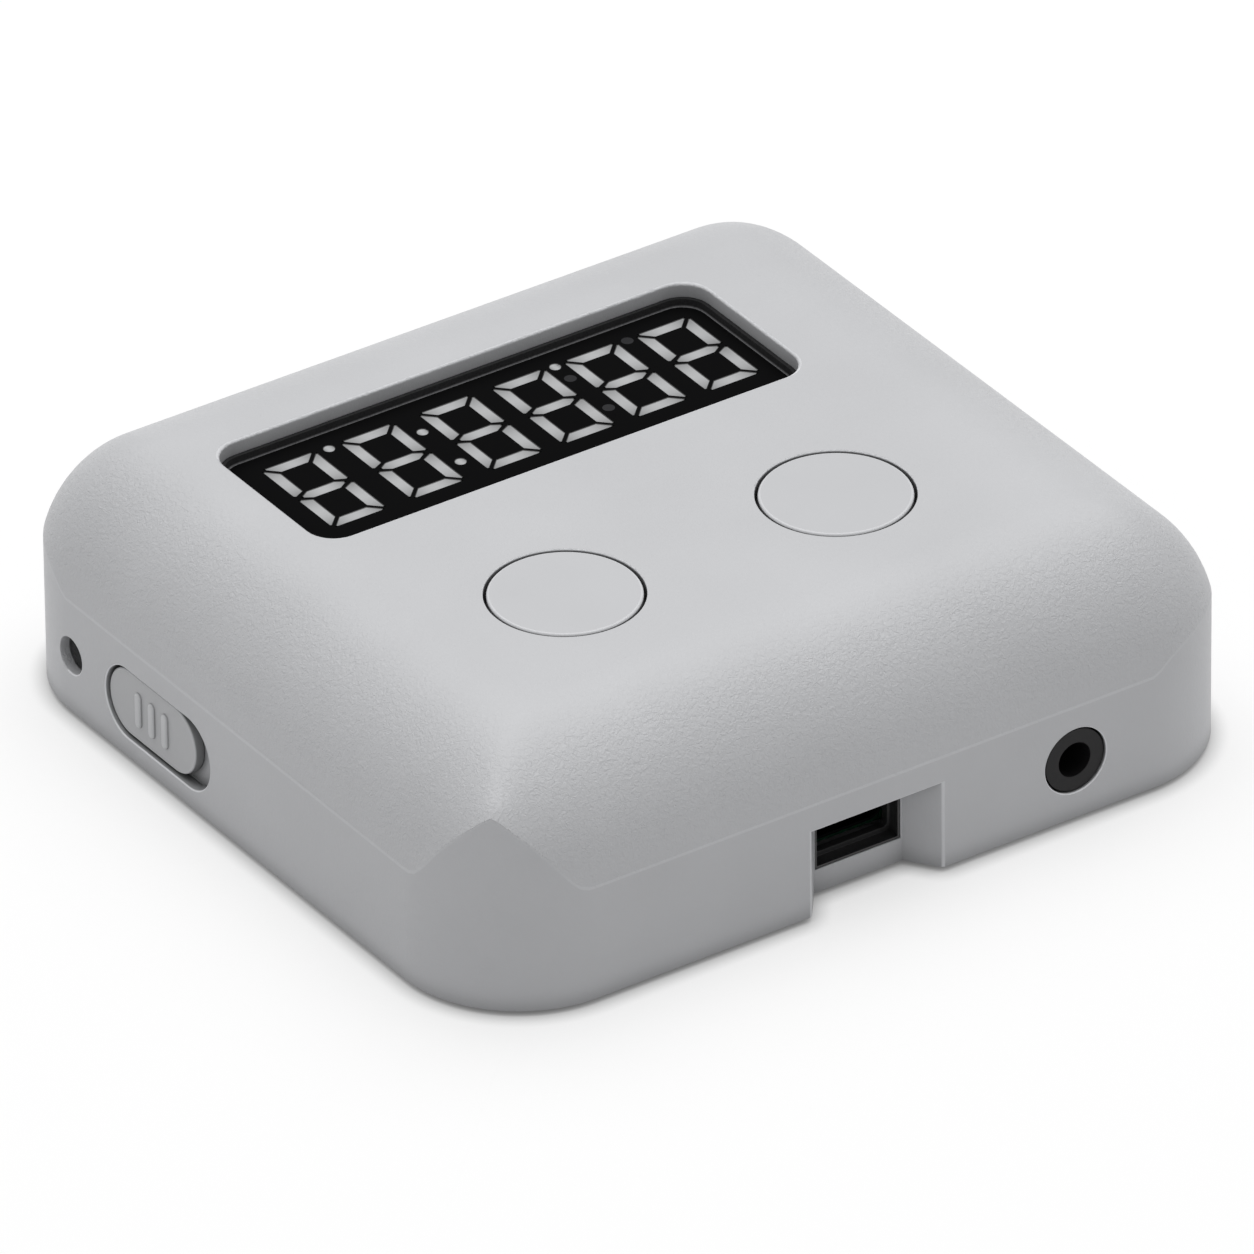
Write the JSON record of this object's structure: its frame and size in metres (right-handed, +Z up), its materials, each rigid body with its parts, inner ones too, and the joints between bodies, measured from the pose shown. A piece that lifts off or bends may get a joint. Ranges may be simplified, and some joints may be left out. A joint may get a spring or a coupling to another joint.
{
  "type": "speed cube timer",
  "caption": "Desk timer with a deep round-edged shell, a sunk segment display, two flush push buttons, a side slide switch, a round audio-type socket and a charging port.",
  "frame": {"origin": "centre of the footprint, on the surface the rubber feet stand on", "axes": "+X to the right along the front, +Y to the back, +Z up"},
  "size_m": [0.088, 0.0824, 0.0258],
  "materials": {
    "case_plastic": "fine moulded grain",
    "cover_plastic": "fine moulded grain",
    "button_plastic": "smooth satin",
    "knob_plastic": "smooth satin",
    "screw_steel": "zinc plated",
    "foot_rubber": "matt",
    "gasket_foam": "closed cell foam",
    "display_black": "matt black face",
    "segment_diffuser": "milky diffuser",
    "dot_diffuser": "dark diffuser",
    "pin_tin": "tinned",
    "board_laminate": "green solder mask",
    "chip_plastic": "moulded epoxy",
    "can_steel": "satin can",
    "capacitor_sleeve": "printed sleeve, bare",
    "ceramic": "ceramic",
    "resistor_body": "glazed",
    "header_plastic": "moulded",
    "gold": "gold plated",
    "battery_foil": "laminated foil",
    "pad_foam": "foam tape",
    "connector_nylon": "nylon",
    "lead_jacket": "insulated wire",
    "buzzer_plastic": "moulded",
    "socket_black": "satin black",
    "shell_steel": "nickel plated",
    "tin_plate": "tin plated"
  },
  "bodies": {
    "root": {"upper_case": "case_plastic", "base_cover": "cover_plastic", "case_screws": "screw_steel", "rubber_feet": "foot_rubber", "display_gasket": "gasket_foam", "display_housing": "display_black", "display_segments": "segment_diffuser", "display_dots": "dot_diffuser", "display_pins": "pin_tin", "display_board": "board_laminate", "display_board_screws": "screw_steel", "main_board": "board_laminate", "microcontroller": "chip_plastic", "display_driver": "chip_plastic", "charge_chip": "chip_plastic", "chip_leads": "pin_tin", "crystal": "can_steel", "capacitors": "capacitor_sleeve", "small_capacitors": "ceramic", "resistors": "resistor_body", "header_socket": "header_plastic", "header_strip": "header_plastic", "header_pins": "gold", "battery": "battery_foil", "battery_pad": "pad_foam", "battery_socket": "connector_nylon", "battery_plug": "connector_nylon", "battery_leads": "lead_jacket", "buzzer": "buzzer_plastic", "port_frame": "socket_black", "port_shell": "shell_steel", "port_tongue": "header_plastic", "port_contacts": "gold", "jack_body": "socket_black", "jack_contacts": "pin_tin", "slide_switch_case": "tin_plate", "slide_switch_terminals": "pin_tin", "tact_bodies": "chip_plastic", "tact_plates": "tin_plate", "tact_terminals": "pin_tin"},
    "left_button": {"left_button_cap": "button_plastic", "left_plunger": "header_plastic"},
    "right_button": {"right_button_cap": "button_plastic", "right_plunger": "header_plastic"},
    "power_slider": {"slider_knob": "knob_plastic", "slide_switch_lever": "header_plastic"}
  },
  "joints": [
    {"name": "left_button_press", "type": "slide", "parent": "root", "child": "left_button", "axis": [0, 0, -1], "range_m": [0, 0.0005], "stiffness_N_per_m": 600, "springref_m": -0.002},
    {"name": "right_button_press", "type": "slide", "parent": "root", "child": "right_button", "axis": [0, 0, -1], "range_m": [0, 0.0005], "stiffness_N_per_m": 600, "springref_m": -0.002},
    {"name": "power_slide", "type": "slide", "parent": "root", "child": "power_slider", "axis": [0, -1, 0], "range_m": [0, 0.0026]}
  ]
}
